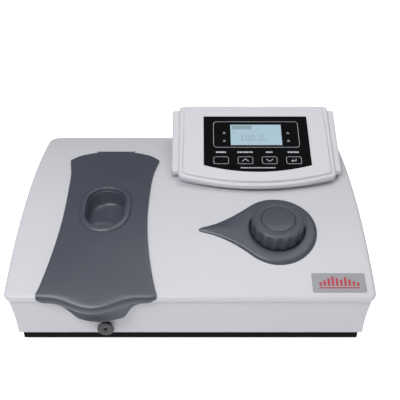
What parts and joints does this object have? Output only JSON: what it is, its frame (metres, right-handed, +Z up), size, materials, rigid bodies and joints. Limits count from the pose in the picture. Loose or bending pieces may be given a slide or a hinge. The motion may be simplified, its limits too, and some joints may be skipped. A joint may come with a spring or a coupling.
{
  "type": "spectrophotometer",
  "caption": "Bench-top visible spectrophotometer: white case, waisted grey sample lid, wavelength knob on a teardrop bezel, sloping display pod.",
  "frame": {"origin": "on the bench, under the middle of the instrument's bounding box", "axes": "+X to the operator's right, +Y towards the back, +Z up"},
  "size_m": [0.41, 0.312, 0.1803],
  "materials": {
    "white_shell": "satin white moulded plastic, fine spark texture",
    "grey_plastic": "satin dark blue-grey moulded plastic",
    "knob_plastic": "satin dark blue-grey moulded plastic, slightly polished flutes",
    "rod_knob_plastic": "satin dark grey turned plastic",
    "black_plastic": "matt black moulded plastic",
    "panel_film": "black printed polyester film with pale printed outlines",
    "lcd_glass": "pale blue-green display behind a clear window",
    "lcd_frame": "stamped steel frame",
    "board": "green circuit board with parts",
    "base_steel": "black powder-coated sheet steel",
    "panel_metal": "light grey powder-coated sheet steel",
    "rubber": "moulded black rubber",
    "screw_steel": "zinc-plated steel",
    "bright_steel": "ground stainless steel",
    "badge_metal": "satin anodised aluminium with a printed motif",
    "cast_black": "black anodised aluminium casting",
    "lamp_metal": "folded aluminium sheet",
    "arm_metal": "machined aluminium",
    "brass": "machined brass",
    "bronze": "sintered bronze",
    "optic_glass": "polished glass",
    "grating_coat": "aluminised grating surface",
    "ceramic": "white glazed ceramic",
    "rocker_red": "glossy red plastic",
    "fan_plastic": "black moulded plastic",
    "guard_wire": "chrome-plated wire"
  },
  "bodies": {
    "case": {"top_cover": "white_shell", "base_pan": "base_steel", "rubber_feet": "rubber", "rear_panel": "panel_metal", "panel_screws": "screw_steel", "badge_plate": "badge_metal", "display_pod": "white_shell", "display_overlay": "panel_film", "lcd_window": "lcd_glass", "lcd_module": "lcd_frame", "display_board": "board", "lid_hinge_brackets": "grey_plastic", "lid_hinge_pin": "bright_steel", "sample_well": "black_plastic", "carriage_rails": "bright_steel", "rod_bush": "bronze", "knob_bezel": "grey_plastic", "knob_bush": "bronze", "wavelength_encoder": "black_plastic", "mono_housing": "cast_black", "mono_cover": "cast_black", "exit_slit": "cast_black", "entrance_slit": "cast_black", "lens_mount": "cast_black", "condenser_lens": "optic_glass", "lamp_housing": "lamp_metal", "lamp_socket": "ceramic", "halogen_lamp": "optic_glass", "detector_housing": "cast_black", "detector_board": "board", "photodiode": "brass", "main_board": "board", "power_supply": "lamp_metal", "fan_frame": "fan_plastic", "fan_guard": "guard_wire", "mains_inlet": "black_plastic", "fuse_drawer": "black_plastic", "switch_frame": "black_plastic", "serial_port": "screw_steel"},
    "lid": {"sample_lid": "grey_plastic", "lid_pull_cup": "grey_plastic"},
    "carriage": {"cell_carriage": "cast_black", "pull_rod": "bright_steel", "rod_knob": "rod_knob_plastic"},
    "knob": {"wavelength_knob": "knob_plastic", "knob_cap": "knob_plastic", "knob_shaft": "bright_steel"},
    "camshaft_body": {"camshaft": "bright_steel", "wavelength_cam": "brass"},
    "grating_table": {"grating_arm": "arm_metal", "cam_follower": "brass", "grating_shaft": "bright_steel", "grating_holder": "cast_black", "diffraction_grating": "grating_coat"},
    "mode_key": {"key_mode": "panel_film"},
    "up_key": {"key_up": "panel_film"},
    "down_key": {"key_down": "panel_film"},
    "enter_key": {"key_enter": "panel_film"},
    "rocker": {"power_rocker": "rocker_red"},
    "fan_blades": {"fan_rotor": "fan_plastic"}
  },
  "joints": [
    {"name": "lid_hinge", "type": "hinge", "parent": "case", "child": "lid", "pos_m": [-0.103, 0.093, 0.1238], "axis": [-1, 0, 0], "range_deg": [0, 95]},
    {"name": "carriage_slide", "type": "slide", "parent": "case", "child": "carriage", "axis": [0, -1, 0], "range_m": [0, 0.051]},
    {"name": "knob_turn", "type": "hinge", "parent": "case", "child": "knob", "pos_m": [0.1015, -0.0565, 0.10574], "axis": [0, -0.1736, 0.9848], "range_deg": [-150, 150]},
    {"name": "camshaft_turn", "type": "hinge", "parent": "case", "child": "camshaft_body", "pos_m": [0.1015, -0.05199, 0.06], "axis": [0, 0, 1], "range_deg": [-150, 150]},
    {"name": "grating_swing", "type": "hinge", "parent": "case", "child": "grating_table", "pos_m": [0.0792, -0.00198, 0.06], "axis": [0, 0, 1], "range_deg": [-8, 8]},
    {"name": "mode_key_press", "type": "slide", "parent": "case", "child": "mode_key", "axis": [0, 0.3907, -0.9205], "range_m": [0, 0.0004], "stiffness_N_per_m": 400},
    {"name": "up_key_press", "type": "slide", "parent": "case", "child": "up_key", "axis": [0, 0.3907, -0.9205], "range_m": [0, 0.0004], "stiffness_N_per_m": 400},
    {"name": "down_key_press", "type": "slide", "parent": "case", "child": "down_key", "axis": [0, 0.3907, -0.9205], "range_m": [0, 0.0004], "stiffness_N_per_m": 400},
    {"name": "enter_key_press", "type": "slide", "parent": "case", "child": "enter_key", "axis": [0, 0.3907, -0.9205], "range_m": [0, 0.0004], "stiffness_N_per_m": 400},
    {"name": "rocker_tip", "type": "hinge", "parent": "case", "child": "rocker", "pos_m": [0.112, 0.149, 0.052], "axis": [0, 0, 1], "range_deg": [-14, 0]},
    {"name": "fan_spin", "type": "hinge", "parent": "case", "child": "fan_blades", "pos_m": [-0.075, 0.14, 0.052], "axis": [0, 1, 0], "continuous": true}
  ],
  "couplings": [
    {"joint": "camshaft_turn", "follows": "knob_turn", "ratio": 1},
    {"joint": "grating_swing", "follows": "knob_turn", "ratio": 0.053333}
  ]
}
